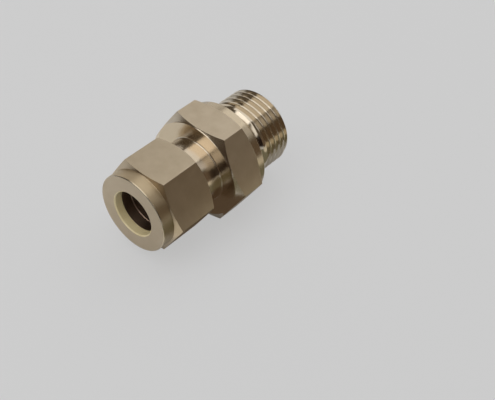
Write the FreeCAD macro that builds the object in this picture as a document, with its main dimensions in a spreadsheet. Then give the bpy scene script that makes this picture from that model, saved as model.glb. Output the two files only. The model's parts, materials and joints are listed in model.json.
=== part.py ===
# Probe mounting fitting: a bored-through compression fitting that holds a 12 mm probe
# in a G 1/2 port. Four pieces: connector body, front ferrule, back ferrule and nut.
#
# Row frame, millimetres: the origin is the centre of the sealing face, +X runs along the
# axis towards the port thread, and +Z is up. The fitting lies on a flat of its body
# hexagon. It is modelled with the nut tight.
#
# The body and the nut are made as in the shop: a length of hexagon bar, turned outside
# and bored. The ferrules are turned rings. Sizes inside grow outwards from the probe:
# bore, ferrules, mouth, thread, nut.
import FreeCAD, Part
import Sketcher
import os

doc = FreeCAD.newDocument("probe_mounting_fitting")

# Driving dimensions
SIZES = [
    # the probe, and how much wider than it the holes are
    ("probe_diameter", 12.0),
    ("bore_clearance", 0.15),
    ("ferrule_clearance", 0.15),
    ("bore_chamfer", 0.5),
    # left between two seats when the nut is tight
    ("seat_gap", 0.1),
    # front ferrule: wall, straight land, taper in the body's mouth, rim round its recess
    ("ferrule_wall", 1.775),
    ("front_land", 1.6),
    ("front_tip_wall", 0.3),
    ("front_rear_rim", 0.65),
    # back ferrule: how much smaller it is than the front one, its flange and its nose
    ("back_ferrule_step", 0.1),
    ("back_flange_width", 1.7),
    ("back_tip_wall", 0.2),
    # connector body, nut side: the cone that closes the ferrules, the wall from its
    # mouth to the thread's crests, and the flat ring at the tip
    ("mouth_angle", 20.0),
    ("mouth_lead", 0.25),
    ("nose_wall", 1.425),
    ("nose_lip", 0.5),
    ("thread_inset", 0.9),
    ("neck_undercut", 0.625),
    # the angle turned on the corners of a hexagon
    ("corner_angle", 30.0),
    # body hexagon, and how far its turned face stays inside the flats
    ("body_across_flats", 27.0),
    ("hex_width", 9.0),
    ("hex_face_step", 0.2),
    ("hex_face_bevel", 0.2),
    # connector body, port side: flange, thread relief, G 1/2 thread at its crests
    ("flange_step", 0.1),
    ("flange_width", 2.3),
    ("flange_chamfer", 0.2),
    ("port_thread_major", 20.955),
    ("port_length", 14.0),
    ("port_lead_chamfer", 1.2),
    ("relief_depth", 1.38),
    ("relief_width", 2.4),
    # nut: 22 mm across flats comes from the thread and the wall outside it
    ("nut_length", 16.2),
    ("nut_thread_gap", 0.05),
    ("nut_flat_wall", 1.425),
    ("nut_standoff", 5.8),
    ("nut_collar_step", 0.45),
    ("nut_collar_length", 3.4),
    ("nut_front_angle", 20.0),
    ("nut_rear_step", 0.3),
    ("nut_rim_bevel", 0.3),
    ("nut_end_wall", 2.3),
    ("nut_seat_land", 0.8),
    ("pocket_clearance", 0.25),
    ("nose_gap", 0.6),
    ("nut_mouth_chamfer", 0.5),
]
sheet = doc.addObject("Spreadsheet::Sheet", "sizes")
for row, (alias, value) in enumerate(SIZES, start=1):
    sheet.set(f"A{row}", alias)
    sheet.set(f"B{row}", str(value))
    sheet.setAlias(f"B{row}", alias)
doc.recompute()

# how far an outline to be cut away runs past the metal
OVERRUN = "1"
# edges are found by their place and radius to within this
FIND_TOLERANCE = 1e-4

# Radii, written as expressions on the sheet, from the probe outwards
BORE_R = "(sizes.probe_diameter + sizes.bore_clearance) / 2"
FERRULE_BORE_R = "(sizes.probe_diameter + sizes.ferrule_clearance) / 2"
FRONT_R = f"({FERRULE_BORE_R} + sizes.ferrule_wall)"
BACK_R = f"({FRONT_R} - sizes.back_ferrule_step)"
MOUTH_R = f"({FRONT_R} + sizes.mouth_lead)"
NOSE_FACE_R = f"({MOUTH_R} + sizes.nose_lip)"
THREAD_R = f"({MOUTH_R} + sizes.nose_wall)"
NECK_R = f"({THREAD_R} - sizes.neck_undercut)"
POCKET_R = f"({FRONT_R} + sizes.pocket_clearance)"
NUT_BORE_R = f"({THREAD_R} + sizes.nut_thread_gap)"
NUT_FLAT_R = f"({NUT_BORE_R} + sizes.nut_flat_wall)"
NUT_SEAT_R = f"({FERRULE_BORE_R} + sizes.nut_seat_land)"
RECESS_R = f"({FRONT_R} - sizes.front_rear_rim)"
FRONT_TIP_R = f"({FERRULE_BORE_R} + sizes.front_tip_wall)"
BACK_TIP_R = f"({FERRULE_BORE_R} + sizes.back_tip_wall)"
# a 45 degree bevel one gap away from its seat is smaller than the seat by this
BEVEL_STEP = "sizes.seat_gap * (sqrt(2) - 1)"
DRIVE_R = f"({NUT_SEAT_R} - {BEVEL_STEP})"
BACK_NOSE_R = f"({RECESS_R} - {BEVEL_STEP})"

# Places along the axis. The front ferrule's taper starts this far inside the mouth, and
# the stack of ferrules then fixes how far the nose stands inside the nut.
TAPER_START = (
    "((sizes.mouth_lead - sizes.seat_gap / cos(sizes.mouth_angle)) / tan(sizes.mouth_angle))"
)
NOSE_IN_NUT = (
    "(sizes.nut_end_wall + sizes.back_flange_width + sizes.front_land + 2 * sizes.seat_gap"
    f" - {TAPER_START})"
)
NOSE_LENGTH = f"(sizes.nut_length - {NOSE_IN_NUT} + sizes.nut_standoff)"
NUT_THREAD_LENGTH = f"(sizes.nut_length - {NOSE_IN_NUT} - sizes.thread_inset)"


def new_body(name):
    """A sub-part: its label names the node and its file."""
    body = doc.addObject("PartDesign::Body", name)
    body.Label = name
    return body


def new_sketch(body, name, role):
    """A sketch on one of the body's own origin planes."""
    sketch = body.newObject("Sketcher::SketchObject", name)
    plane = [f for f in body.Origin.OriginFeatures if f.Role == role][0]
    sketch.AttachmentSupport = [(plane, "")]
    sketch.MapMode = "FlatFace"
    doc.recompute()
    return sketch


def closed_outline(sketch, corners):
    """Straight lines from corner to corner. Each corner is two expressions, so the
    outline follows the sheet: along the sketch's first axis, then its second."""
    places = [[float(sketch.evalExpression(text)) for text in corner] for corner in corners]
    points = [FreeCAD.Vector(first, second, 0) for first, second in places]
    count = len(corners)
    for number in range(count):
        line = Part.LineSegment(points[number], points[(number + 1) % count])
        sketch.addGeometry(line, False)
    for number in range(count):
        following = (number + 1) % count
        sketch.addConstraint(Sketcher.Constraint("Coincident", number, 2, following, 1))
    for number, corner in enumerate(corners):
        for kind, text, value in zip(("DistanceX", "DistanceY"), corner, places[number]):
            constraint = Sketcher.Constraint(kind, -1, 1, number, 1, value)
            index = sketch.addConstraint(constraint)
            sketch.setExpression(f"Constraints[{index}]", text)
    doc.recompute()


def hexagon_bar(body, flat_radius, length):
    """Hexagon bar along +X from the body's origin, with two flats level. flat_radius is
    half the size across flats."""
    corner = f"(2 * {flat_radius} / sqrt(3))"
    sketch = new_sketch(body, f"{body.Name}_bar_section", "YZ_Plane")
    closed_outline(sketch, [
        (corner, "0"),
        (f"{corner} / 2", flat_radius),
        (f"-{corner} / 2", flat_radius),
        (f"-{corner}", "0"),
        (f"-{corner} / 2", f"-{flat_radius}"),
        (f"{corner} / 2", f"-{flat_radius}"),
    ])
    bar = body.newObject("PartDesign::Pad", f"{body.Name}_bar")
    bar.Profile = sketch
    bar.setExpression("Length", length)
    doc.recompute()


def lathe_cut(body, name, corners):
    """Removes what the outline sweeps round the X axis, and checks that it cut."""
    before = body.Shape.Volume
    sketch = new_sketch(body, f"{name}_outline", "XY_Plane")
    closed_outline(sketch, corners)
    groove = body.newObject("PartDesign::Groove", name)
    groove.Profile = sketch
    groove.ReferenceAxis = (sketch, ["H_Axis"])
    groove.Angle = 360
    doc.recompute()
    if not body.Shape.Volume < before:
        raise RuntimeError(f"{name} cut nothing")


def turned_ring(body, corners):
    """A solid of revolution about the X axis."""
    sketch = new_sketch(body, f"{body.Name}_section", "XY_Plane")
    closed_outline(sketch, corners)
    ring = body.newObject("PartDesign::Revolution", f"{body.Name}_ring")
    ring.Profile = sketch
    ring.ReferenceAxis = (sketch, ["H_Axis"])
    ring.Angle = 360
    doc.recompute()


def bevel_edge(body, name, width, place, reach):
    """Chamfers the circular edge about the X axis that has this place and this radius."""
    tip = body.Tip
    along, out = (float(sheet.evalExpression(text)) for text in (place, reach))
    edges = [
        f"Edge{number}"
        for number, edge in enumerate(tip.Shape.Edges, start=1)
        if edge.Curve.TypeId == "Part::GeomCircle"
        and abs(edge.Curve.Center.x - along) < FIND_TOLERANCE
        and abs(edge.Curve.Radius - out) < FIND_TOLERANCE
    ]
    if not edges:
        raise RuntimeError(f"{name} found no edge")
    bevel = body.newObject("PartDesign::Chamfer", name)
    bevel.Base = (tip, edges)
    bevel.setExpression("Size", width)
    doc.recompute()


# Connector body, from the tip of its nose: thread for the nut, neck, hexagon, flange
# with the sealing face, thread relief and port thread
BODY_FLAT_R = "(sizes.body_across_flats / 2)"
BODY_CLEAR = f"(2 * {BODY_FLAT_R} / sqrt(3) + {OVERRUN})"
FACE_R = f"({BODY_FLAT_R} - sizes.hex_face_step)"
FLANGE_R = f"({BODY_FLAT_R} - sizes.flange_step)"
PORT_R = "(sizes.port_thread_major / 2)"
RELIEF_R = f"({PORT_R} - sizes.relief_depth)"
HEX_REAR = f"({NOSE_LENGTH} + sizes.hex_width)"
SEAL = f"({HEX_REAR} + sizes.flange_width)"
PORT_END = f"({SEAL} + sizes.port_length)"

connector_body = new_body("connector_body")
hexagon_bar(connector_body, BODY_FLAT_R, PORT_END)
lathe_cut(connector_body, "nut_side_turning", [
    (f"-{OVERRUN}", f"{NOSE_FACE_R} - {OVERRUN}"),
    (f"{THREAD_R} - {NOSE_FACE_R}", THREAD_R),
    (NUT_THREAD_LENGTH, THREAD_R),
    (f"{NUT_THREAD_LENGTH} + sizes.neck_undercut", NECK_R),
    (NOSE_LENGTH, NECK_R),
    (NOSE_LENGTH, FACE_R),
    (f"{NOSE_LENGTH} + ({BODY_CLEAR} - {FACE_R}) * tan(sizes.corner_angle)", BODY_CLEAR),
    (f"-{OVERRUN}", BODY_CLEAR),
])
lathe_cut(connector_body, "port_side_turning", [
    (f"{HEX_REAR} - ({BODY_CLEAR} - {FLANGE_R}) * tan(sizes.corner_angle)", BODY_CLEAR),
    (HEX_REAR, FLANGE_R),
    (f"{SEAL} - sizes.flange_chamfer", FLANGE_R),
    (SEAL, f"{FLANGE_R} - sizes.flange_chamfer"),
    (SEAL, RELIEF_R),
    (f"{SEAL} + sizes.relief_width", RELIEF_R),
    (f"{SEAL} + sizes.relief_width + sizes.relief_depth", PORT_R),
    (f"{PORT_END} - sizes.port_lead_chamfer", PORT_R),
    (f"{PORT_END} + {OVERRUN}", f"{PORT_R} - sizes.port_lead_chamfer - {OVERRUN}"),
    (f"{PORT_END} + {OVERRUN}", BODY_CLEAR),
])
# the bore opens towards the nut in the cone that closes the ferrules on the probe
lathe_cut(connector_body, "body_boring", [
    (f"-{OVERRUN}", "0"),
    (f"-{OVERRUN}", f"{MOUTH_R} + {OVERRUN} * tan(sizes.mouth_angle)"),
    (f"({MOUTH_R} - {BORE_R}) / tan(sizes.mouth_angle)", BORE_R),
    (f"{PORT_END} - sizes.bore_chamfer", BORE_R),
    (f"{PORT_END} + {OVERRUN}", f"{BORE_R} + sizes.bore_chamfer + {OVERRUN}"),
    (f"{PORT_END} + {OVERRUN}", "0"),
])
bevel_edge(connector_body, "hex_face_edge", "sizes.hex_face_bevel", NOSE_LENGTH, FACE_R)
connector_body.setExpression("Placement.Base.x", f"-{SEAL} * 1mm")

# Front ferrule, from its rear face: a land, then the taper that wedges in the mouth. Its
# recess takes the nose of the back ferrule.
FRONT_END = f"sizes.front_land + ({FRONT_R} - {FRONT_TIP_R}) / tan(sizes.mouth_angle)"
front_ferrule = new_body("front_ferrule")
turned_ring(front_ferrule, [
    ("0", RECESS_R),
    ("0", FRONT_R),
    ("sizes.front_land", FRONT_R),
    (FRONT_END, FRONT_TIP_R),
    (FRONT_END, FERRULE_BORE_R),
    (f"{RECESS_R} - {FERRULE_BORE_R}", FERRULE_BORE_R),
])
front_ferrule.setExpression(
    "Placement.Base.x",
    f"connector_body.Placement.Base.x + ({TAPER_START} - sizes.front_land) * 1mm",
)

# Back ferrule, from its rear face: the bevel that the nut drives, a flange, and a nose
BACK_END = f"sizes.back_flange_width + {BACK_NOSE_R} - {BACK_TIP_R}"
back_ferrule = new_body("back_ferrule")
turned_ring(back_ferrule, [
    ("0", FERRULE_BORE_R),
    ("0", DRIVE_R),
    (f"{BACK_R} - {DRIVE_R}", BACK_R),
    ("sizes.back_flange_width", BACK_R),
    ("sizes.back_flange_width", BACK_NOSE_R),
    (BACK_END, BACK_TIP_R),
    (BACK_END, FERRULE_BORE_R),
])
back_ferrule.setExpression(
    "Placement.Base.x",
    "front_ferrule.Placement.Base.x - (sizes.seat_gap + sizes.back_flange_width) * 1mm",
)

# Nut, from its outer end: collar, hexagon, and inside it the seat that drives the back
# ferrule, the ferrule pocket, a cone clear of the body's nose, and the thread
NUT_CLEAR = f"(2 * {NUT_FLAT_R} / sqrt(3) + {OVERRUN})"
COLLAR_R = f"({NUT_FLAT_R} - sizes.nut_collar_step)"
REAR_R = f"({NUT_FLAT_R} - sizes.nut_rear_step)"
POCKET_END = f"({NOSE_IN_NUT} - sizes.nose_gap - {NOSE_FACE_R} + {POCKET_R})"

compression_nut = new_body("compression_nut")
hexagon_bar(compression_nut, NUT_FLAT_R, "sizes.nut_length")
lathe_cut(compression_nut, "collar_turning", [
    (f"-{OVERRUN}", COLLAR_R),
    ("sizes.nut_collar_length", COLLAR_R),
    (f"sizes.nut_collar_length + ({NUT_CLEAR} - {COLLAR_R}) * tan(sizes.nut_front_angle)",
     NUT_CLEAR),
    (f"-{OVERRUN}", NUT_CLEAR),
])
lathe_cut(compression_nut, "nut_rear_turning", [
    ("sizes.nut_length", REAR_R),
    (f"sizes.nut_length - ({NUT_CLEAR} - {REAR_R}) * tan(sizes.corner_angle)", NUT_CLEAR),
    (f"sizes.nut_length + {OVERRUN}", NUT_CLEAR),
    (f"sizes.nut_length + {OVERRUN}", REAR_R),
])
lathe_cut(compression_nut, "nut_boring", [
    (f"-{OVERRUN}", "0"),
    (f"-{OVERRUN}", f"{BORE_R} + sizes.bore_chamfer + {OVERRUN}"),
    ("sizes.bore_chamfer", BORE_R),
    ("sizes.nut_end_wall", BORE_R),
    ("sizes.nut_end_wall", NUT_SEAT_R),
    (f"sizes.nut_end_wall + {POCKET_R} - {NUT_SEAT_R}", POCKET_R),
    (POCKET_END, POCKET_R),
    (f"{POCKET_END} + {NUT_BORE_R} - {POCKET_R}", NUT_BORE_R),
    ("sizes.nut_length - sizes.nut_mouth_chamfer", NUT_BORE_R),
    (f"sizes.nut_length + {OVERRUN}", f"{NUT_BORE_R} + sizes.nut_mouth_chamfer + {OVERRUN}"),
    (f"sizes.nut_length + {OVERRUN}", "0"),
])
bevel_edge(compression_nut, "nut_rim", "sizes.nut_rim_bevel", "0", COLLAR_R)
compression_nut.setExpression(
    "Placement.Base.x",
    "back_ferrule.Placement.Base.x - (sizes.seat_gap + sizes.nut_end_wall) * 1mm",
)
doc.recompute()

# Nothing is written unless every object and every shape is sound
pieces = [connector_body, front_ferrule, back_ferrule, compression_nut]
for item in doc.Objects:
    if "Invalid" in item.State or "Error" in item.State:
        raise RuntimeError(f"{item.Label} failed: {item.State}")
for piece in pieces:
    if piece.Shape.isNull() or not piece.Shape.isValid() or len(piece.Shape.Solids) != 1:
        raise RuntimeError(f"{piece.Label} is not one valid solid")

os.makedirs("parts", exist_ok=True)
for piece in pieces:
    piece.Shape.exportStep(os.path.join("parts", f"{piece.Label}.step"))
    box = piece.Shape.BoundBox
    print(f"{piece.Label}: x {box.XMin:.3f} to {box.XMax:.3f} mm, {piece.Shape.Volume:.0f} mm3")
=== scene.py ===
# %% [markdown]
# A compression fitting holds a round probe in a threaded port. It has a hexagon body, a
# hexagon nut and, inside the nut, two ferrules that grip the probe. The solids are made
# already, and this lesson gives them the looks of turned metal. The frame is loaded first,
# because every piece takes its place and its main sizes from it.

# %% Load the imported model
import json
import math

import bmesh
import bpy
from mathutils import Matrix, Vector

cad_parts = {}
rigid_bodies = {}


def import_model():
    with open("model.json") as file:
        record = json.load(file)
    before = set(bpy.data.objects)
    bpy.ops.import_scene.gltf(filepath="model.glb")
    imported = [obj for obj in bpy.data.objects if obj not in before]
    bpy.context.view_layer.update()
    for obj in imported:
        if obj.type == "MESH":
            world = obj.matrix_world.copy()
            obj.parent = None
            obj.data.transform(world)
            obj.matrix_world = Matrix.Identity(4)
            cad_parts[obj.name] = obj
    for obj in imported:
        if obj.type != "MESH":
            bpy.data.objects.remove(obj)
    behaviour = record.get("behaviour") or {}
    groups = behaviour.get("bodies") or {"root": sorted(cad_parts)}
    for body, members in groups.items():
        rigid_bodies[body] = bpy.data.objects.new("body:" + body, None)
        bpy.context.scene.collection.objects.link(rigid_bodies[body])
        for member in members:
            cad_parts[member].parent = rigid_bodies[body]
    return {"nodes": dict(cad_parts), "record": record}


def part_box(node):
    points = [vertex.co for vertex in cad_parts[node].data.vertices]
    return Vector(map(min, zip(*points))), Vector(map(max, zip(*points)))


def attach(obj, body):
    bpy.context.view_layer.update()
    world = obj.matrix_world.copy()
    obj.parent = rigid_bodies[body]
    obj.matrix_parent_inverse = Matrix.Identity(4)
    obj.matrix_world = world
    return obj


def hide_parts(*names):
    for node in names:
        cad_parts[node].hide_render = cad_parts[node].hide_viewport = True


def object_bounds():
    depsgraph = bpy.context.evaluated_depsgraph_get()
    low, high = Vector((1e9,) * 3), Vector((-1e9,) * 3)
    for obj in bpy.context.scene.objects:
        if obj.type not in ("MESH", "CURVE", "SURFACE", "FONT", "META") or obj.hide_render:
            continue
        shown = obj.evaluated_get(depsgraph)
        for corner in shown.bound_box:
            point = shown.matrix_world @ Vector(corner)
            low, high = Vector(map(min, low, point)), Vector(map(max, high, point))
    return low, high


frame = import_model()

cad_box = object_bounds()
MM = 0.001


def in_mm(corner):
    """A place in millimetres, short enough to print."""
    return [round(v / MM, 2) for v in corner]


print("solids reach from", in_mm(cad_box[0]), "to", in_mm(cad_box[1]))

# %% [markdown]
# The camera comes before the pieces, so that each can be judged as soon as it is there.
# Its place and its focal length were found by laying the two hexagons, the end face and
# the thread over the photograph. The small roll is the photographer's own: without it, the
# fitting's long edges run a few pixels off.

# %% Stand the camera where the photograph was taken
FRAME_WIDTH_PX = 495
FOCAL_LENGTH_PX = 894.8
SENSOR_WIDTH = 36.0
CAMERA_AT = Vector((-134.06, -110.98, 154.37)) * MM
LOOKS_AT = Vector((-12.80, -18.43, 2.86)) * MM
CAMERA_ROLL = math.radians(4.69)

camera_data = bpy.data.cameras.new("photo_camera")
camera_data.sensor_width = SENSOR_WIDTH
camera_data.lens = FOCAL_LENGTH_PX * SENSOR_WIDTH / FRAME_WIDTH_PX
camera_data.clip_start = 10 * MM
camera = bpy.data.objects.new("photo_camera", camera_data)
bpy.context.scene.collection.objects.link(camera)
aim = (LOOKS_AT - CAMERA_AT).to_track_quat("-Z", "Y").to_matrix()
rolled = aim @ Matrix.Rotation(CAMERA_ROLL, 3, "Z")
camera.matrix_world = Matrix.Translation(CAMERA_AT) @ rolled.to_4x4()
bpy.context.scene.camera = camera
bpy.context.scene.view_settings.view_transform = "Standard"
print("camera stands", round((CAMERA_AT - LOOKS_AT).length / MM), "mm away")
print("its lens is", round(camera_data.lens, 1), "mm")

# %% [markdown]
# Every finish here is built from shader nodes. One function adds a node, sets what is
# plain and links what is not, so that a material reads as a short list. Colours are
# written as the hex values that a colour picker shows, and one function turns them into
# the linear numbers that light is added up in.

# %% Helpers for colours and nodes
def linear(hex_colour):
    """Linear red, green, blue and alpha of an sRGB colour such as #C8B9A3."""
    parts = [int(hex_colour[place:place + 2], 16) / 255 for place in (1, 3, 5)]
    return (*[v / 12.92 if v <= 0.04045 else ((v + 0.055) / 1.055) ** 2.4 for v in parts], 1.0)


def add_node(tree, kind, inputs=(), **settings):
    """A new node. inputs pairs a socket's name or number with a value or with an output."""
    node = tree.nodes.new("ShaderNode" + kind)
    for name, value in settings.items():
        setattr(node, name, value)
    for name, value in dict(inputs).items():
        if isinstance(value, bpy.types.NodeSocket):
            tree.links.new(value, node.inputs[name])
        else:
            node.inputs[name].default_value = value
    return node


print("warm steel in linear light:", [round(v, 3) for v in linear("#C8B9A3")])

# %% [markdown]
# Metal has almost no colour of its own: it shows what stands round it. The room is built
# first for that reason. A large softbox hangs overhead, and the flats on top show it. Four
# more stand round the fitting: a strong one on the left, a narrow one behind the camera for
# the bright lines on the rims, a low wide one on the far side, and a small one on the right.
# Between them the room is dark, and the dark is what draws the edges. Each lamp is given
# the brightness that a mirror would show, with 1 as white. Places and sizes are in metres.

# %% Hang the softboxes
CENTRE = Vector((-10.0, 0.0, 0.0)) * MM
LAMP_COLOUR = "#FFFDFA"


def softbox(name, place, size, brightness, faces=None):
    """A rectangular lamp. It faces the fitting, unless a direction is given."""
    data = bpy.data.lights.new(name, "AREA")
    data.shape = "RECTANGLE"
    data.size, data.size_y = size
    data.energy = brightness * math.pi * size[0] * size[1]
    data.color = linear(LAMP_COLOUR)[:3]
    lamp = bpy.data.objects.new(name, data)
    bpy.context.scene.collection.objects.link(lamp)
    towards = Vector(faces) if faces else CENTRE - Vector(place)
    turn = towards.to_track_quat("-Z", "Y").to_matrix().to_4x4()
    lamp.matrix_world = Matrix.Translation(place) @ turn
    lamp.visible_camera = False
    print(f"{name}: {data.energy:.2f} W")
    return lamp


softbox("overhead_softbox", (0.375, 0.125, 0.6), (1.25, 0.69), 0.85, faces=(0, 0, -1))
softbox("left_softbox", (-0.49, 0.10, 0.56), (0.60, 0.6), 1.4)
softbox("shoulder_softbox", (-0.42, -0.39, 0.48), (0.19, 0.6), 0.95)
softbox("far_softbox", (0.5, 0.69, 0.28), (1.2, 0.56), 0.6)
softbox("right_softbox", (0.40, -0.345, 0.49), (0.5, 0.26), 0.54)

# %% [markdown]
# The rest of the room is a dim warm grey, and the metal's brown tones come from it. Camera
# rays see a pale wall instead, so that a view from low down still has a plain background.
# Mirror rays keep the dark room, because that is what the metal in the photograph shows.

# %% Dim the room
ROOM_COLOUR = "#594F42"
WALL_COLOUR = "#CFCFCF"
world = bpy.data.worlds.new("dim_studio")
bpy.context.scene.world = world
world.use_nodes = True
tree = world.node_tree
tree.nodes.clear()
path = add_node(tree, "LightPath")
colour = add_node(tree, "Mix", {
    "Factor": path.outputs["Is Camera Ray"],
    "A": linear(ROOM_COLOUR),
    "B": linear(WALL_COLOUR),
}, data_type="RGBA")
sky = add_node(tree, "Background", {"Color": colour.outputs["Result"]})
add_node(tree, "OutputWorld", {"Surface": sky.outputs["Background"]})
print("the room's grey in linear light:", [round(v, 2) for v in linear(ROOM_COLOUR)[:3]])

# %% [markdown]
# The floor is a sheet of pale paper. Its matt part takes the fitting's soft shadow. The
# lamps alone leave it darker than the photograph's even background, so a glow is mixed in,
# and how much depends on the ray. For the camera it is three quarters beside the fitting,
# so that a little shadow stays, and the whole at a metre away, so that the paper meets the
# wall without a line. For rays that leave metal or pass through glass it is a tenth beside
# the fitting, where the photograph's metal shows a darker ground, and again the whole far
# off. No lamp is made brighter for the background.

# %% Lay the floor
FLOOR_SIZE = 3.0
PAPER_COLOUR = "#E9EEF5"
FLOOR_GAP = 0.02 * MM
PAPER_GLOW = 0.63
CAMERA_SHARE = 0.75
MIRROR_SHARE = 0.1
FAR_SHARE = 1.0
NEAR_REACH = 0.02
FAR_REACH = 1.0
paper = bpy.data.materials.new("matt_white_paper")
paper.use_nodes = True
tree = paper.node_tree
tree.nodes.clear()
path = add_node(tree, "LightPath")
coords = add_node(tree, "TexCoord")
reach = add_node(tree, "VectorMath", {0: coords.outputs["Object"]}, operation="LENGTH")


def share_of(ray_kind, near_share):
    """The glow's share for one kind of ray. It grows with the distance."""
    grown = add_node(tree, "MapRange", {
        "Value": reach.outputs["Value"], "From Min": NEAR_REACH, "From Max": FAR_REACH,
        "To Min": near_share, "To Max": FAR_SHARE})
    asked = {0: path.outputs[ray_kind], 1: grown.outputs["Result"]}
    return add_node(tree, "Math", asked, operation="MULTIPLY").outputs[0]


seen = share_of("Is Camera Ray", CAMERA_SHARE)
mirrored = share_of("Is Glossy Ray", MIRROR_SHARE)
refracted = share_of("Is Transmission Ray", MIRROR_SHARE)
either = add_node(tree, "Math", {0: seen, 1: mirrored}, operation="MAXIMUM")
share = add_node(tree, "Math", {0: either.outputs[0], 1: refracted}, operation="MAXIMUM")
matt = add_node(tree, "BsdfDiffuse", {"Color": linear(PAPER_COLOUR)})
glow = add_node(tree, "Emission", {"Color": (1, 1, 1, 1), "Strength": PAPER_GLOW})
both = add_node(tree, "MixShader", {
    0: share.outputs[0],
    1: matt.outputs[0],
    2: glow.outputs[0],
})
add_node(tree, "OutputMaterial", {"Surface": both.outputs[0]})

sheet = bmesh.new()
bmesh.ops.create_grid(sheet, x_segments=1, y_segments=1, size=FLOOR_SIZE / 2)
bmesh.ops.translate(sheet, verts=sheet.verts, vec=(0, 0, cad_box[0].z - FLOOR_GAP))
floor_mesh = bpy.data.meshes.new("floor")
sheet.to_mesh(floor_mesh)
sheet.free()
floor_mesh.materials.append(paper)
floor = bpy.data.objects.new("floor", floor_mesh)
bpy.context.scene.collection.objects.link(floor)
print("floor lies at z", round(cad_box[0].z / MM, 2), "mm")

# %% [markdown]
# A photographer of bright metal also puts up cards, and what the metal shows of them makes
# its bands and tones. They are cut here from seven tones of matt card, from nearly black to
# a warm white. The material is an emission and nothing else, so that a card shows the same
# tone from everywhere, whatever the lamps do.

# %% Cut the cards' stock
def card_stock(name, colour):
    """Matt card that shows the same tone from everywhere."""
    material = bpy.data.materials.new(name)
    material.use_nodes = True
    tree = material.node_tree
    tree.nodes.clear()
    dull = add_node(tree, "Emission", {"Color": linear(colour), "Strength": 1.0})
    add_node(tree, "OutputMaterial", {"Surface": dull.outputs[0]})
    return material


black_stock = card_stock("matt_black_card", "#221816")
dark_stock = card_stock("matt_dark_card", "#40342A")
umber_shade_stock = card_stock("matt_umber_card", "#5C4E40")
brown_stock = card_stock("matt_brown_card", "#665646")
olive_shade_stock = card_stock("matt_olive_card", "#777360")
pale_stock = card_stock("matt_pale_card", "#D2CAB8")
white_light_stock = card_stock("matt_white_card", "#D6D2C9")
print("card stock from", black_stock.name, "to", white_light_stock.name)

# %% [markdown]
# Three dark cards stand upright, to the left, in front and to the right, and a low pale one
# stands by the port thread. Seven more lie on the floor, under the faces that look down at
# it: olive on the near side, umber by the neck, and white before the nut's end, on the far
# side and beyond the thread. Those that lie paint the floor as the metal shows it: the olive
# and umber ones are painted shade beside and under the fitting, and the white ones are
# painted light. All are seen only in the metal, and throw no shadow.

# %% Put up the cards
def put_up_card(name, stock, corner, along, across):
    """A flat card from one corner and its two edges, in millimetres. A square of one
    millimetre is stretched along both edges, and the matrix puts it in its place."""
    bm = bmesh.new()
    bmesh.ops.create_grid(bm, x_segments=1, y_segments=1, size=0.5)
    bmesh.ops.translate(bm, verts=bm.verts, vec=(0.5, 0.5, 0))
    along, across = Vector(along), Vector(across)
    frame_of_card = Matrix((along, across, along.cross(across).normalized())).transposed().to_4x4()
    bmesh.ops.transform(bm, verts=bm.verts, matrix=Matrix.Translation(corner) @ frame_of_card)
    bmesh.ops.scale(bm, verts=bm.verts, vec=(MM, MM, MM))
    mesh = bpy.data.meshes.new(name)
    bm.to_mesh(mesh)
    bm.free()
    mesh.materials.append(stock)
    card = bpy.data.objects.new(name, mesh)
    bpy.context.scene.collection.objects.link(card)
    card.visible_camera = False
    card.visible_diffuse = False
    card.visible_shadow = False
    print(name, "is", round(along.length), "by", round(across.length), "mm")


ground = cad_box[0].z / MM
put_up_card("left_card", dark_stock, (-100, -125, ground), (0, 205, 0), (0, 0, 42))
put_up_card("front_card", black_stock, (-100, -125, ground), (60, -105, 0), (0, 0, 90))
put_up_card("right_card", brown_stock, (-40, -230, ground), (380, 259, 0), (0, 0, 95))
put_up_card("low_card", pale_stock, (-6, -44, ground + 5), (52, 20, 0), (0, 0, 9))
# The cards that lie share three heights, so that no two overlap at the same one
sheet_top = ground + 0.05
card_top = ground + 0.1
small_top = ground + 0.15
# Painted shade: olive and umber sheets darken the floor that the metal shows beside and under the
# fitting
put_up_card("lying_card", olive_shade_stock, (-5, -60, card_top), (55, 0, 0), (0, 42, 0))
put_up_card("lying_front_card", olive_shade_stock, (-75, -80, card_top), (70, 0, 0), (0, 59, 0))
put_up_card("corner_card", umber_shade_stock, (-12, -24, small_top), (4, 0, 0), (0, 15, 0))
put_up_card("under_nut_card", umber_shade_stock, (-24, -21, small_top), (12, 0, 0), (0, 33, 0))
# Painted light: glowing white sheets brighten the floor that the metal shows
put_up_card("cone_card", white_light_stock, (-58, -20, small_top), (22, 0, 0), (0, 12, 0))
put_up_card("lying_white_card", white_light_stock, (-36, 12, card_top), (60, 0, 0), (0, 65, 0))
put_up_card("far_white_card", white_light_stock, (15, -130, sheet_top), (105, 0, 0), (0, 80, 0))

# %% [markdown]
# A lathe makes nearly every surface of this fitting, and a spin is the lathe of a
# modelling program: an outline of a few points is turned round the axis. The helper takes
# the outline in millimetres, as distance along the axis and radius. A third number rounds
# that corner with a bevel, as the nose of the cutting tool does.

# %% A helper that turns an outline
TURN_STEPS = 192
ROUND_STEPS = 4
MERGE_WITHIN = 1e-5
SAME_PLACE = 1e-4
SAME_RADIUS = 1e-3
AXIS = Vector((1.0, 0.0, 0.0))


def is_at(vert, corner):
    """True if the vertex is on the ring that this corner of the outline was turned to."""
    radius = math.hypot(vert.co.y, vert.co.z)
    return abs(vert.co.x - corner[0]) < SAME_PLACE and abs(radius - corner[1]) < SAME_RADIUS


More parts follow.
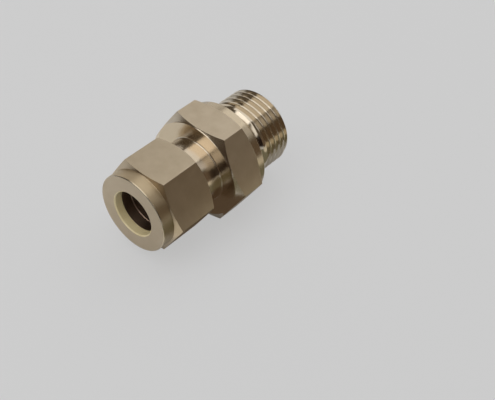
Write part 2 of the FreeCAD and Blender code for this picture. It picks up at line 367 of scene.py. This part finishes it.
def turned(outline):
    """A solid of revolution about the X axis, as a bmesh in millimetres. The outline
    starts and ends on the axis."""
    bm = bmesh.new()
    points = [bm.verts.new((corner[0], corner[1], 0.0)) for corner in outline]
    edges = [bm.edges.new(pair) for pair in zip(points, points[1:])]
    bmesh.ops.spin(bm, geom=points + edges, cent=(0, 0, 0), axis=AXIS,
                   angle=2 * math.pi, steps=TURN_STEPS, use_merge=True)
    bmesh.ops.remove_doubles(bm, verts=bm.verts, dist=MERGE_WITHIN)
    bmesh.ops.recalc_face_normals(bm, faces=bm.faces)
    for corner in outline:
        if len(corner) == 3:
            ring = [e for e in bm.edges if all(is_at(v, corner) for v in e.verts)]
            bmesh.ops.bevel(bm, geom=ring, offset=corner[2], segments=ROUND_STEPS,
                            profile=0.5, affect="EDGES", material=-1)
    return bm


trial = turned([(0, 0), (0, 5, 0.5), (8, 5), (8, 0)])
print("a turned plug has", len(trial.faces), "faces")
trial.free()

# %% [markdown]
# Both the body and the nut start as hexagon bar. The mill draws the bar through a die,
# which leaves its six corners very slightly round. A circle of six points, extruded and
# bevelled along its length, is that bar. Its outside is then whatever the bar and the
# lathe's outline have in common, so the curved edges on the corners come by themselves.

# %% Helpers for bar stock and for cutting
CORNER_ROUND = 0.15
# A circle is made flat on the ground. A quarter turn about Y stands it across the bar, and
# leaves two of the six sides level.
UPRIGHT = Matrix.Rotation(math.radians(90), 4, "Y")


def hexagon_bar(across_flats, start, end):
    """Hexagon bar along X with two flats level, as a bmesh in millimetres."""
    bm = bmesh.new()
    bmesh.ops.create_circle(bm, cap_ends=True, segments=6, radius=across_flats / math.sqrt(3),
                            matrix=Matrix.Translation((start, 0, 0)) @ UPRIGHT)
    grown = bmesh.ops.extrude_face_region(bm, geom=bm.faces[:])
    far_side = [v for v in grown["geom"] if isinstance(v, bmesh.types.BMVert)]
    bmesh.ops.translate(bm, verts=far_side, vec=AXIS * (end - start))
    half_way = (end - start) / 2
    long_edges = [e for e in bm.edges if abs(e.verts[0].co.x - e.verts[1].co.x) > half_way]
    bmesh.ops.bevel(bm, geom=long_edges, offset=CORNER_ROUND, segments=ROUND_STEPS,
                    profile=0.5, affect="EDGES", material=-1)
    bmesh.ops.recalc_face_normals(bm, faces=bm.faces)
    return bm


def as_object(name, bm):
    """Gives a bmesh an object of its own, still in millimetres."""
    mesh = bpy.data.meshes.new(name)
    bm.to_mesh(mesh)
    bm.free()
    piece = bpy.data.objects.new(name, mesh)
    bpy.context.scene.collection.objects.link(piece)
    return piece


def apply_modifiers(piece):
    """Makes what the modifiers show the piece's own mesh."""
    seen = piece.evaluated_get(bpy.context.evaluated_depsgraph_get())
    result = bpy.data.meshes.new_from_object(seen)
    piece.modifiers.clear()
    old = piece.data
    piece.data = result
    bpy.data.meshes.remove(old)


def machine(work, tool, operation):
    """Cuts the work with the tool, or keeps what both share, and clears the tool away."""
    modifier = work.modifiers.new("cut", "BOOLEAN")
    modifier.object = tool
    modifier.operation = operation
    modifier.solver = "MANIFOLD"
    apply_modifiers(work)
    spent = tool.data
    bpy.data.objects.remove(tool)
    bpy.data.meshes.remove(spent)
    print(f"{work.name}: {len(work.data.polygons)} faces")


trial = hexagon_bar(27, 0, 40)
print("a length of hexagon bar has", len(trial.faces), "faces")
trial.free()

# %% [markdown]
# A screw thread is one groove that winds along a cylinder. It is modelled as the tool that
# cuts it: the groove's own section, closed above the metal, swept along a helix by a spin
# that also moves. Turning and travelling towards +X together gives a right-hand thread.
# The metal between two turns is left standing as the crest. Over the first quarter of a
# turn the tool is lifted, so that the groove begins shallow and runs in.

# %% A helper that sweeps a thread's groove
THREAD_STEPS = 96
RUN_IN = 0.25


def lift_start(bm, start, pitch, depth):
    """Raises a cutter over its first part of a turn, most at its very start."""
    for vert in bm.verts:
        # The angle says where in a turn the vertex is, and its place along the axis in which
        part_turn = math.atan2(vert.co.z, vert.co.y) / (2 * math.pi)
        turn = part_turn + round((vert.co.x - start) / pitch - part_turn)
        lift = max(0.0, 1 - turn / RUN_IN) * depth
        radius = math.hypot(vert.co.y, vert.co.z)
        vert.co.yz = vert.co.yz * (1 + lift / radius)


def groove_tool(name, section, pitch, start, turns, runs_in=False):
    """A helical cutter, named as an object. section is points of (offset along the axis,
    radius). With runs_in the cut starts shallow."""
    bm = bmesh.new()
    points = [bm.verts.new((start + along, radius, 0.0)) for along, radius in section]
    edges = [bm.edges.new(pair) for pair in zip(points, points[1:] + points[:1])]
    bm.faces.new(points)
    swept = bmesh.ops.spin(bm, geom=points + edges, cent=(0, 0, 0), axis=AXIS,
                           dvec=AXIS * (pitch / THREAD_STEPS), angle=2 * math.pi * turns,
                           steps=round(turns * THREAD_STEPS))
    last_edges = [e for e in swept["geom_last"] if isinstance(e, bmesh.types.BMEdge)]
    bmesh.ops.contextual_create(bm, geom=last_edges)
    bmesh.ops.remove_doubles(bm, verts=bm.verts, dist=MERGE_WITHIN)
    if runs_in:
        radii = [radius for along, radius in section]
        lift_start(bm, start, pitch, max(radii) - min(radii))
    bmesh.ops.recalc_face_normals(bm, faces=bm.faces)
    open_edges = [e for e in bm.edges if len(e.link_faces) != 2]
    print(f"{name}: {len(bm.faces)} faces, {len(open_edges)} open edges")
    return as_object(name, bm)


# %% [markdown]
# The port thread is a pipe thread of 14 turns to the inch. Its flanks stand at 55 degrees
# to each other, and its root and crest are rounded, which is what makes the crests shine as
# soft lines. The section below goes down one flank, round the root and up the other. It
# leaves the metal a little before the top of the crest, so that two turns never touch.

# %% The section of the port thread
mounts = {mount["name"]: mount for mount in frame["record"]["mounts"]}
PORT_RADIUS = mounts["port_thread"]["dims"]["r_mm"]
BORE_RADIUS = mounts["probe_bore"]["dims"]["r_mm"]
PORT_PITCH = 25.4 / 14
HALF_ANGLE = 27.5
# The standard form gives the depth and the radius of the rounding as shares of the pitch
DEPTH_PER_PITCH = 0.640327
ROUND_PER_PITCH = 0.137329
# The groove leaves the metal this far beside the crest's middle, a skim above the crest.
# From there it rises straight to where it is closed.
HALF_CREST_LEFT = 0.085
SKIM = 0.03
CLEAR_ABOVE = 0.6
flank_turn = 90 - HALF_ANGLE
port_root = PORT_RADIUS - DEPTH_PER_PITCH * PORT_PITCH
port_round = ROUND_PER_PITCH * PORT_PITCH

# Each round is drawn by a point at each of a few angles, counted from its middle
root_half = [
    (port_round * math.sin(turn), port_root + port_round * (1 - math.cos(turn)))
    for turn in [math.radians(angle) for angle in (0, 21, 42, flank_turn)]
]
crest_half = [
    (PORT_PITCH / 2 - port_round * math.sin(turn), PORT_RADIUS - port_round * (1 - math.cos(turn)))
    for turn in [math.radians(angle) for angle in (flank_turn, 45, 27)]
]
leaves_at = PORT_PITCH / 2 - HALF_CREST_LEFT
leave_half = [(leaves_at, PORT_RADIUS + SKIM), (leaves_at, PORT_RADIUS + CLEAR_ABOVE)]
right_side = root_half + crest_half + leave_half
left_side = [(-along, radius) for along, radius in reversed(right_side[1:])]
port_section = right_side + left_side
print("port thread: root radius", round(port_root, 3), "mm, section of", len(port_section), "points")

# %% [markdown]
# The nut's thread is finer, 20 turns to the inch, with straight flanks at 60 degrees and
# flat crests. It is stubby: its root stays just outside the neck behind it, so that the
# tool can run out there. The nut's own thread is the same form a twentieth of a
# millimetre wider. It is cut half a turn's travel out of step, so that ridge meets groove.

# %% The sections of the nut's thread, outside and inside
NUT_PITCH = 25.4 / 20
NUT_CREST = 9.525
NUT_ROOT = 8.92
THREAD_PLAY = 0.05
FLANK_ANGLE = 30
NUT_MINOR = NUT_ROOT + THREAD_PLAY
flank_slope = math.tan(math.radians(FLANK_ANGLE))
crest_flat = NUT_PITCH / 8


def straight_section(low, high, half_at_high, slope):
    """A groove with straight flanks, running on above the metal at the same slope."""
    top = high + THREAD_PLAY
    half_low = half_at_high - (high - low) * slope
    half_top = half_at_high + (top - high) * slope
    return [(half_low, low), (half_top, top), (-half_top, top), (-half_low, low)]


outer_section = straight_section(NUT_ROOT, NUT_CREST, (NUT_PITCH - crest_flat) / 2, flank_slope)
inner_section = straight_section(
    NUT_MINOR - THREAD_PLAY, NUT_CREST + THREAD_PLAY, crest_flat / 2 + THREAD_PLAY, -flank_slope)
print("nut thread: depth", round(NUT_CREST - NUT_ROOT, 3), "mm")

# %% [markdown]
# The connector body is turned from 27 mm hexagon bar. From the nut's side it has a nose
# with the fine thread, a smooth neck, the hexagon with its turned face, a round flange
# that ends in the sealing face, a relief groove, and the port thread with its lead
# chamfer. The roots of the neck and of the relief are rounded as the lathe tool leaves
# them. From the relief a ramp of 45 degrees climbs to the thread, and its last quarter of a
# millimetre is flatter.

# %% The body's sizes
low, high = [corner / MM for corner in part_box("connector_body")]
BODY_FLATS = high.z - low.z
NOSE_TIP, PORT_END = low.x, high.x
HEX_WIDTH = 9.0
FLANGE_WIDTH = 2.3
hex_rear = -FLANGE_WIDTH
hex_face = hex_rear - HEX_WIDTH
MOUTH_RADIUS = 8.1
NOSE_RADIUS = 8.6
NECK_RADIUS = 8.9
NECK_START = -17.375
NECK_ROUND = 0.35
FACE_STEP = 0.1
FACE_LIP = 0.16
FLANGE_STEP = 0.1
FLANGE_BACK_ROUND = 0.12
FLANGE_ROUND = 0.2
RELIEF_RADIUS = 9.0975
RELIEF_WIDTH = 2.4
RELIEF_ROUND = 0.35
RAMP_FOOT_ROUND = 0.3
RAMP_TOP_STEP = 0.25
RAMP_TOP_ANGLE = 22
LEAD_CHAMFER = 1.2
END_ROUND = 0.12
BORE_CHAMFER = 0.5
CORNER_ANGLE = 30
OVERRUN = 1
face_radius = BODY_FLATS / 2 - FACE_STEP
flange_radius = BODY_FLATS / 2 - FLANGE_STEP
corner_slope = math.tan(math.radians(CORNER_ANGLE))
past_corners = BODY_FLATS / math.sqrt(3) + OVERRUN
thread_end = NECK_START - (NUT_CREST - NECK_RADIUS)
ramp_radius = PORT_RADIUS - RAMP_TOP_STEP
ramp_top = RELIEF_WIDTH + ramp_radius - RELIEF_RADIUS
ramp_slope = math.tan(math.radians(RAMP_TOP_ANGLE))
print("body:", round(BODY_FLATS, 2), "mm across flats, x", round(NOSE_TIP, 2), "to", round(PORT_END, 2))

# %% [markdown]
# The lathe's outline runs from the nose to the port's end. Over the hexagon it passes
# outside the bar's corners, so that the flats stay as they were drawn, and the cone at each
# side of it cuts the corners into curves.

# %% Turn the connector body
body_outside = turned([
    (NOSE_TIP, 0.0),
    (NOSE_TIP, NOSE_RADIUS),
    (NOSE_TIP + NUT_CREST - NOSE_RADIUS, NUT_CREST),
    (thread_end, NUT_CREST),
    (NECK_START, NECK_RADIUS),
    (hex_face, NECK_RADIUS, NECK_ROUND),
    (hex_face, face_radius - FACE_LIP),
    (hex_face + FACE_LIP, face_radius),
    (hex_face + FACE_LIP + (past_corners - face_radius) * corner_slope, past_corners),
    (hex_rear - (past_corners - flange_radius) * corner_slope, past_corners),
    (hex_rear, flange_radius, FLANGE_BACK_ROUND),
    (0.0, flange_radius, FLANGE_ROUND),
    (0.0, RELIEF_RADIUS, RELIEF_ROUND),
    (RELIEF_WIDTH, RELIEF_RADIUS, RAMP_FOOT_ROUND),
    (ramp_top, ramp_radius),
    (ramp_top + (PORT_RADIUS - ramp_radius) / ramp_slope, PORT_RADIUS),
    (PORT_END - LEAD_CHAMFER, PORT_RADIUS),
    (PORT_END, PORT_RADIUS - LEAD_CHAMFER, END_ROUND),
    (PORT_END, 0.0),
])
body = as_object("body_visual", hexagon_bar(BODY_FLATS, NOSE_TIP - OVERRUN, PORT_END + OVERRUN))
machine(body, as_object("body_outside", body_outside), "INTERSECT")

# %% [markdown]
# The bore runs right through for the probe, and opens towards the nut in the cone that
# squeezes the ferrules. The two thread grooves are cut last, as on the lathe.

# %% Bore the body and cut its threads
MOUTH_ANGLE = 20
mouth_slope = math.tan(math.radians(MOUTH_ANGLE))
bore_tool = turned([
    (NOSE_TIP - OVERRUN, 0.0),
    (NOSE_TIP - OVERRUN, MOUTH_RADIUS + OVERRUN * mouth_slope),
    (NOSE_TIP + (MOUTH_RADIUS - BORE_RADIUS) / mouth_slope, BORE_RADIUS),
    (PORT_END - BORE_CHAMFER, BORE_RADIUS),
    (PORT_END + OVERRUN, BORE_RADIUS + BORE_CHAMFER + OVERRUN),
    (PORT_END + OVERRUN, 0.0),
])
machine(body, as_object("bore_tool", bore_tool), "DIFFERENCE")
PORT_GROOVE_START = 4.55
PORT_GROOVE_TURNS = 6.2
port_tool = groove_tool("port_groove", port_section, PORT_PITCH,
                        PORT_GROOVE_START, PORT_GROOVE_TURNS, runs_in=True)
machine(body, port_tool, "DIFFERENCE")
NUT_GROOVE_START = -29.6
NUT_GROOVE_TURNS = 9.6
nose_tool = groove_tool("nose_groove", outer_section, NUT_PITCH,
                        NUT_GROOVE_START, NUT_GROOVE_TURNS)
machine(body, nose_tool, "DIFFERENCE")

# %% [markdown]
# The nut is turned from 22 mm hexagon bar. Its outer end is a plain round collar, and a
# shallow cone leads from the collar to the hexagon. Inside, a short bore guides the probe,
# a bevel drives the back ferrule, and the thread follows behind a clearance groove.

# %% The nut's sizes
low, high = [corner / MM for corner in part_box("compression_nut")]
NUT_FLATS = high.z - low.z
NUT_END, NUT_REAR = low.x, high.x
RIM_BEVEL = 0.28
COLLAR_STEP = 0.45
COLLAR_LENGTH = 3.4
COLLAR_ANGLE = 20
REAR_STEP = 0.3
EDGE_ROUND = 0.1
END_WALL = 2.3
MOUTH_CHAMFER = 0.3
SEAT_RADIUS = 6.875
POCKET_RADIUS = 8.1
POCKET_END = -28.994
UNDERCUT_END = -26.3
collar_radius = NUT_FLATS / 2 - COLLAR_STEP
rear_radius = NUT_FLATS / 2 - REAR_STEP
collar_slope = math.tan(math.radians(COLLAR_ANGLE))
past_nut = NUT_FLATS / math.sqrt(3) + OVERRUN
wide_bore = NUT_CREST + THREAD_PLAY
print("nut:", round(NUT_FLATS, 2), "mm across flats, x", round(NUT_END, 2), "to", round(NUT_REAR, 2))

# %% [markdown]
# The nut's outside is made as the body's was, from its own bar and outline. The cone behind
# the collar is what gives the front of each flat its curved edge.

# %% Turn the nut
nut_outside = turned([
    (NUT_END, 0.0),
    (NUT_END, collar_radius, RIM_BEVEL),
    (NUT_END + COLLAR_LENGTH, collar_radius, EDGE_ROUND),
    (NUT_END + COLLAR_LENGTH + (past_nut - collar_radius) * collar_slope, past_nut),
    (NUT_REAR - (past_nut - rear_radius) * corner_slope, past_nut),
    (NUT_REAR, rear_radius, EDGE_ROUND),
    (NUT_REAR, 0.0),
])
nut = as_object("nut_visual", hexagon_bar(NUT_FLATS, NUT_END - OVERRUN, NUT_REAR + OVERRUN))
machine(nut, as_object("nut_outside", nut_outside), "INTERSECT")

# %% [markdown]
# One tool bores the nut. It is a turned solid with all the steps of the inside, from the
# mouth to the thread, and the nut is cut with it in one go. The thread's groove is cut
# after that.

# %% Bore the nut and cut its thread
nut_bore_tool = turned([
    (NUT_END - OVERRUN, 0.0),
    (NUT_END - OVERRUN, BORE_RADIUS + MOUTH_CHAMFER + OVERRUN),
    (NUT_END + MOUTH_CHAMFER, BORE_RADIUS),
    (NUT_END + END_WALL, BORE_RADIUS),
    (NUT_END + END_WALL, SEAT_RADIUS),
    (NUT_END + END_WALL + POCKET_RADIUS - SEAT_RADIUS, POCKET_RADIUS),
    (POCKET_END, POCKET_RADIUS),
    (POCKET_END + wide_bore - POCKET_RADIUS, wide_bore),
    (UNDERCUT_END, wide_bore),
    (UNDERCUT_END + wide_bore - NUT_MINOR, NUT_MINOR),
    (NUT_REAR - BORE_CHAMFER - wide_bore + NUT_MINOR, NUT_MINOR),
    (NUT_REAR + OVERRUN, wide_bore + BORE_CHAMFER + OVERRUN),
    (NUT_REAR + OVERRUN, 0.0),
])
machine(nut, as_object("nut_bore_tool", nut_bore_tool), "DIFFERENCE")
INNER_GROOVE_SKIP = 2.5
INNER_GROOVE_TURNS = 9.0
inner_start = NUT_GROOVE_START + INNER_GROOVE_SKIP * NUT_PITCH
inner_tool = groove_tool("inner_groove", inner_section, NUT_PITCH,
                         inner_start, INNER_GROOVE_TURNS)
machine(nut, inner_tool, "DIFFERENCE")

# %% [markdown]
# All the metal is stainless steel. Its colour is a pale warm grey, and how it was cut makes
# the rest: the roughness blurs what it mirrors, and fine marks break it up. The three
# helpers here start a metal, mottle its colour a little and give its surface relief.

# %% Helpers for metal
def start_metal(name, roughness):
    """A material with a metal shader, an output and the piece's own coordinates."""
    material = bpy.data.materials.new(name)
    material.use_nodes = True
    tree = material.node_tree
    tree.nodes.clear()
    shader = add_node(tree, "BsdfPrincipled", {"Metallic": 1.0, "Roughness": roughness})
    add_node(tree, "OutputMaterial", {"Surface": shader.outputs["BSDF"]})
    coords = add_node(tree, "TexCoord")
    return material, tree, shader, coords.outputs["Object"]


def tint(tree, shader, place, spacing, light, dark):
    """Mottles the metal's colour softly between two near tones, in spots of this size."""
    cloud = add_node(tree, "TexNoise", {"Vector": place, "Scale": 1 / spacing, "Detail": 3.0})
    mix = add_node(tree, "Mix", {
        "Factor": cloud.outputs["Fac"],
        "A": linear(light),
        "B": linear(dark),
    }, data_type="RGBA")
    tree.links.new(mix.outputs["Result"], shader.inputs["Base Color"])


def relief(tree, shader, height, depth):
    """Raises the surface by up to this depth where the height is 1."""
    bump = add_node(tree, "Bump", {"Height": height, "Strength": 1.0, "Distance": depth})
    tree.links.new(bump.outputs["Normal"], shader.inputs["Normal"])


print("metal helpers: start_metal, tint and relief")

# %% [markdown]
# Cold drawing leaves the hexagon's flats satin, with faint lines along the bar. The eye
# reads them as soft, even panes, each one tone. The die's lines are a few hundredths of a
# millimetre wide. They are drawn 0.3 mm wide here, because finer ones wouldn't show. The
# tone wanders a little every 3 mm or so, as it does on bar that has been handled.

# %% Finish: cold drawn stainless steel flats
LINE_WIDTH = 0.3 * MM
LINE_LENGTH = 12 * MM
LINE_DEPTH = 0.006 * MM
DRAWN_MOTTLE = 3 * MM


def drawn_steel(name, roughness, light, dark):
    """Satin bar stock with fine lines along X."""
    material, tree, shader, place = start_metal(name, roughness)
    stretch = add_node(tree, "Mapping", {
        "Vector": place, "Scale": (1 / LINE_LENGTH, 1 / LINE_WIDTH, 1 / LINE_WIDTH)})
    lines = add_node(tree, "TexNoise", {
        "Vector": stretch.outputs["Vector"], "Scale": 1.0, "Detail": 2.0})
    relief(tree, shader, lines.outputs["Fac"], LINE_DEPTH)
    tint(tree, shader, place, DRAWN_MOTTLE, light, dark)
    return material


# Two bars, two tones: the body's is a little paler and duller than the nut's
body_flats = drawn_steel("cold_drawn_steel_body", 0.42, "#D5C9B5", "#BDAF98")
nut_flats = drawn_steel("cold_drawn_steel_nut", 0.36, "#CFC2AC", "#B7A992")
print("made", body_flats.name, "and", nut_flats.name)

# %% [markdown]
# A lathe tool leaves rings. Along a ring the metal mirrors sharply, and across the rings
# it smears the reflection, so turned steel is anisotropic. The pattern here is a noise
# that depends only on the place along the axis and on the radius, which makes rings on
# any turned surface, flat or round. Real feed marks are about 0.1 mm apart. These are
# drawn 0.4 mm apart, because finer ones wouldn't show.

# %% Finish: turned stainless steel
RING_SPACING = 0.4 * MM
TURNED_MOTTLE = 5 * MM
QUARTER_TURN = 0.25


def turned_steel(name, roughness, anisotropy, ring_depth, light, dark):
    """Steel as a lathe leaves it, with rings round the X axis. The tangent runs round the
    axis, and the quarter turn lays the smear across it."""
    material, tree, shader, place = start_metal(name, roughness)
    shader.inputs["Anisotropic"].default_value = anisotropy
    shader.inputs["Anisotropic Rotation"].default_value = QUARTER_TURN
    around = add_node(tree, "VectorMath", {0: (1, 0, 0), 1: place}, operation="CROSS_PRODUCT")
    tangent = add_node(tree, "VectorTransform", {"Vector": around.outputs["Vector"]},
                       vector_type="VECTOR", convert_from="OBJECT", convert_to="WORLD")
    tree.links.new(tangent.outputs["Vector"], shader.inputs["Tangent"])
    split = add_node(tree, "SeparateXYZ", {"Vector": place})
    flat = add_node(tree, "CombineXYZ", {"Y": split.outputs["Y"], "Z": split.outputs["Z"]})
    radius = add_node(tree, "VectorMath", {0: flat.outputs["Vector"]}, operation="LENGTH")
    ring = add_node(tree, "CombineXYZ", {"X": split.outputs["X"], "Y": radius.outputs["Value"]})
    marks = add_node(tree, "TexNoise", {
        "Vector": ring.outputs["Vector"], "Scale": 1 / RING_SPACING, "Detail": 2.0})
    relief(tree, shader, marks.outputs["Fac"], ring_depth)
    tint(tree, shader, place, TURNED_MOTTLE, light, dark)
    return material


# Ends and cones, faced across: an even soft tone that turns with the light
faced = turned_steel("faced_steel", 0.32, 0.5, 0.012 * MM, "#DACAB2", "#C6B598")
# Flange, relief and rims, turned fine: bands of light and dark with soft edges
satin = turned_steel("satin_turned_steel", 0.26, 0.6, 0.004 * MM, "#D2C6B0", "#C6B8A0")
# The nut's collar, turned coarsely: one broad gleam and no clear band
collar = turned_steel("rough_turned_steel", 0.42, 0.3, 0.010 * MM, "#CABA9E", "#B2A184")
# Neck and nose, turned bright: the cards show as clear bands along the axis
bright = turned_steel("bright_turned_steel", 0.2, 0.55, 0.0015 * MM, "#DCD0BE", "#CEC1AC")
# The port thread, cut with a keen tool: glints on the crests and dark grooves
threads = turned_steel("cut_thread_steel", 0.15, 0.4, 0.0015 * MM, "#DDD3C2", "#D2C7B4")
# Inside the bore, painted shade: the steel's colour is made dull brown where little light gets in
shaded_bore_steel = turned_steel("bored_steel", 0.42, 0.5, 0.003 * MM, "#AE9888", "#A08A7A")
# The ferrules, seen only down the bore: the same painted shade of brown, a little smoother
ferrule_steel = turned_steel("ferrule_steel", 0.38, 0.5, 0.002 * MM, "#AE9888", "#A08A7A")
for metal in (faced, satin, collar, bright, threads, shaded_bore_steel, ferrule_steel):
    print("made", metal.name)

# %% [markdown]
# The mouth of the nut's bore looks cream, not like metal. It is taken for the film of dry
# lubricant that such nuts get. The film is pale, thin and a little uneven, with the soft
# gloss of wax. It starts from the same nodes as the steel, with the metal turned off. A
# wax has an index of about 1.45. The higher one here stands for the metal that shines
# through.

# %% Finish: dry lubricant film in the nut's bore
FILM_COLOUR = "#FFF5CC"
FILM_SHADE = "#F8E6B2"
FILM_INDEX = 1.7
FILM_ROUGHNESS = 0.35
FILM_MOTTLE = 1.5 * MM
film, tree, shader, place = start_metal("dry_lubricant_film", FILM_ROUGHNESS)
shader.inputs["Metallic"].default_value = 0.0
shader.inputs["IOR"].default_value = FILM_INDEX
tint(tree, shader, place, FILM_MOTTLE, FILM_COLOUR, FILM_SHADE)
print("made", film.name)

# %% [markdown]
# Each face now takes the finish of the tool that made it. Edges sharper than 28 degrees stay
# sharp, and the rest are shaded as round. The shading is weighted by the size of the faces,
# so that a wide flat stays even beside its narrow roundings. Only here is the mesh scaled
# from millimetres to metres.

# %% A helper that finishes a piece
SHARP_ANGLE = 28


def finish_piece(piece, finishes, choose):
    """Sets a finish for each face, sharpens the real edges and scales to metres."""
    mesh = piece.data
    mesh.materials.clear()
    for material in finishes:
        mesh.materials.append(material)
    for face in mesh.polygons:
        face.material_index = finishes.index(choose(face.center, face.normal))
        face.use_smooth = True
    mesh.set_sharp_from_angle(angle=math.radians(SHARP_ANGLE))
    mesh.transform(Matrix.Scale(MM, 4))
    shading = piece.modifiers.new("even_shading", "WEIGHTED_NORMAL")
    shading.keep_sharp = True
    apply_modifiers(piece)
    print(piece.name, "has", sum(len(f.vertices) - 2 for f in piece.data.polygons), "triangles")


# %% [markdown]
# A face doesn't know which tool made it, so its place and direction have to tell. A face
# that stands at the bar's own distance from the axis is a flat, and one that looks at the
# axis is the wall of a bore. The others are told apart by radius and by their place along
# the bar. The small values leave room for roundings and facets.

# %% Tell the faces apart
HAIR = 0.01
FLAT_PLAY = 0.03
ROOT_PLAY = 0.05
# How far a face's normal leans along the axis: less than the first on the round of the
# collar, more than the second on a plain end
ROUND_FACE = 0.5
END_FACE = 0.999


def reach_out(centre, normal):
    """How far out the face lies, along its own normal. Below zero it looks inwards."""
    return centre.y * normal.y + centre.z * normal.z


def is_flat(centre, normal, across_flats):
    """True on the drawn flats and on their rounded corners."""
    return abs(normal.x) < HAIR and reach_out(centre, normal) > across_flats / 2 - FLAT_PLAY


def is_wall_of_bore(centre, normal, radius):
    """True where the face looks at the axis."""
    return reach_out(centre, normal) < -radius / 2


def body_finish(centre, normal):
    """The finish of one face of the body."""
    radius = math.hypot(centre.y, centre.z)
    beside_thread = RELIEF_WIDTH < centre.x < PORT_END - HAIR
    if is_flat(centre, normal, BODY_FLATS):
        return body_flats
    if beside_thread and radius > port_root - ROOT_PLAY:
        return threads
    if is_wall_of_bore(centre, normal, radius) and radius < MOUTH_RADIUS:
        return shaded_bore_steel
    if centre.x > hex_rear - HAIR:
        return satin
    return bright


def nut_finish(centre, normal):
    """The finish of one face of the nut."""
    radius = math.hypot(centre.y, centre.z)
    inward = is_wall_of_bore(centre, normal, radius)
    on_rim = centre.x < NUT_END + RIM_BEVEL and radius > collar_radius - RIM_BEVEL - HAIR
    if is_flat(centre, normal, NUT_FLATS):
        return nut_flats
    if inward and centre.x < NUT_END + END_WALL:
        return film
    if inward and radius < POCKET_RADIUS:
        return shaded_bore_steel
    if on_rim and abs(normal.x) < END_FACE:
        return satin
    if centre.x < NUT_END + COLLAR_LENGTH and abs(normal.x) < ROUND_FACE:
        return collar
    return faced


print("a face on top of the nut's collar gets", nut_finish(
    Vector((NUT_END + COLLAR_LENGTH / 2, 0, collar_radius)), Vector((0, 0, 1))).name)

# %% [markdown]
# Both pieces get their finishes. Each then rides on its body, so that it moves with the
# joints, and stands for the solid it replaces. The ferrules keep their own solids and only
# get the steel.

# %% Give each face its finish, and each piece its body
finish_piece(body, [body_flats, bright, satin, threads, shaded_bore_steel], body_finish)
finish_piece(nut, [nut_flats, faced, collar, satin, shaded_bore_steel, film], nut_finish)
for piece, node, body_name, slot in (
    (body, "connector_body", "fitting_body", "body_stainless"),
    (nut, "compression_nut", "nut", "nut_stainless"),
):
    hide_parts(node)
    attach(piece, body_name)
for node in ("front_ferrule", "back_ferrule"):
    ferrule = frame["nodes"][node]
    ferrule.data.materials.clear()
    ferrule.data.materials.append(ferrule_steel)
